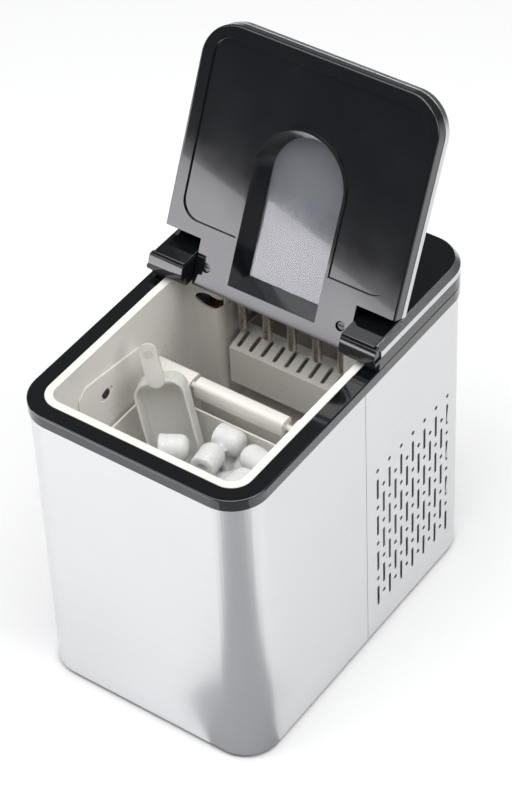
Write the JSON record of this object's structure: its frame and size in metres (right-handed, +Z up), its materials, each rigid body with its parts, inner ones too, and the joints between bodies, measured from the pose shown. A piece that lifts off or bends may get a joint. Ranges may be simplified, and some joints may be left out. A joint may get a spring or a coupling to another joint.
{
  "type": "ice maker",
  "caption": "Countertop ice maker with an open hinged lid, black top ring, white body, side grilles, bin with basket and scoop, and refrigeration parts inside.",
  "frame": {"origin": "centre of the footprint, on the surface the feet stand on, with the lid open", "axes": "+X right seen from the front, +Y to the back, +Z up"},
  "size_m": [0.242, 0.358, 0.5435],
  "materials": {
    "white_steel": "horizontally brushed stainless sheet",
    "black_gloss": "piano black",
    "black_satin": "satin black",
    "bright_trim": "satin chrome",
    "white_liner": "satin food-grade white",
    "milky_plastic": "translucent white",
    "smoked_window": "tinted clear",
    "ice": "frosted ice",
    "foam": "expanded foam",
    "nickel": "plated",
    "copper": "drawn copper",
    "steel": "zinc plated",
    "compressor_black": "semi gloss black paint",
    "rubber": "matt",
    "grey_plastic": "moulded grey",
    "aluminium": "mill finish",
    "green_board": "solder mask",
    "lamp": "diffused lamp",
    "silicone": "silicone",
    "button_grey": "satin grey",
    "dark_window": "infrared window"
  },
  "bodies": {
    "housing": {"feet": "rubber", "base_pan": "grey_plastic", "front_wrap": "white_steel", "side_panel_right": "white_steel", "side_panel_left": "white_steel", "back_panel": "white_steel", "back_screws": "steel", "cord_gland": "rubber", "top_ring": "black_gloss", "basin_liner": "white_liner", "insulation": "foam", "sensor_covers": "white_liner", "ir_sensors": "dark_window", "gate_blocks": "white_liner", "level_sensor": "white_liner", "rear_cover": "black_satin", "cover_band": "bright_trim", "cover_top_plate": "black_gloss", "control_overlay": "black_gloss", "indicator_leds": "lamp", "button_board": "green_board", "evaporator_tube": "nickel", "evaporator_fingers": "nickel", "tray_motor": "grey_plastic", "water_spout": "white_liner", "compressor": "compressor_black", "compressor_grommets": "rubber", "condenser": "aluminium", "fan_shroud": "black_satin", "fan_motor": "steel", "filter_dryer": "copper", "dryer_clip": "steel", "suction_tube": "copper", "hot_gas_tube": "copper", "discharge_tube": "copper", "condenser_tube": "copper", "liquid_tube": "copper", "capillary_tube": "copper", "hot_gas_valve": "steel", "water_pump": "grey_plastic", "pump_inlet_hose": "silicone", "water_hose": "silicone", "drain_hose": "silicone", "drain_spout": "grey_plastic"},
    "lid": {"lid_inner_panel": "black_satin", "lid_outer_shell": "black_gloss", "lid_window": "smoked_window", "lid_band": "bright_trim", "lid_hinge_pins": "steel", "lid_screws": "compressor_black"},
    "power_key": {"power_button": "button_grey"},
    "select_key": {"select_button": "button_grey"},
    "tray": {"water_tray": "white_liner", "tray_axles": "steel"},
    "gate": {"ice_gate": "white_liner"},
    "basket": {"ice_basket": "white_liner", "ice_pieces": "ice"},
    "scoop": {"scoop": "milky_plastic"},
    "fan": {"fan_blade": "grey_plastic"},
    "plug": {"drain_plug": "rubber"}
  },
  "joints": [
    {"name": "lid_hinge", "type": "hinge", "parent": "housing", "child": "lid", "pos_m": [0, 0.0443, 0.3372], "axis": [1, 0, 0], "range_deg": [0, 114]},
    {"name": "power_press", "type": "slide", "parent": "housing", "child": "power_key", "axis": [0, 0, -1], "range_m": [0, 0.001], "stiffness_N_per_m": 400},
    {"name": "select_press", "type": "slide", "parent": "housing", "child": "select_key", "axis": [0, 0, -1], "range_m": [0, 0.001], "stiffness_N_per_m": 400},
    {"name": "tray_tilt", "type": "hinge", "parent": "housing", "child": "tray", "pos_m": [0, 0.062, 0.24], "axis": [-1, 0, 0], "range_deg": [0, 22]},
    {"name": "gate_swing", "type": "hinge", "parent": "housing", "child": "gate", "pos_m": [0, -0.0125, 0.2525], "axis": [1, 0, 0], "range_deg": [0, 55]},
    {"name": "basket_lift", "type": "slide", "parent": "housing", "child": "basket", "axis": [0, 0, -1], "range_m": [-0.2, 0]},
    {"name": "scoop_lift", "type": "slide", "parent": "basket", "child": "scoop", "axis": [0, 0, -1], "range_m": [-0.12, 0]},
    {"name": "fan_spin", "type": "hinge", "parent": "housing", "child": "fan", "pos_m": [0.079, 0.101, 0.127], "axis": [1, 0, 0], "continuous": true},
    {"name": "drain_pull", "type": "slide", "parent": "housing", "child": "plug", "axis": [0, 1, 0], "range_m": [0, 0.03]}
  ]
}
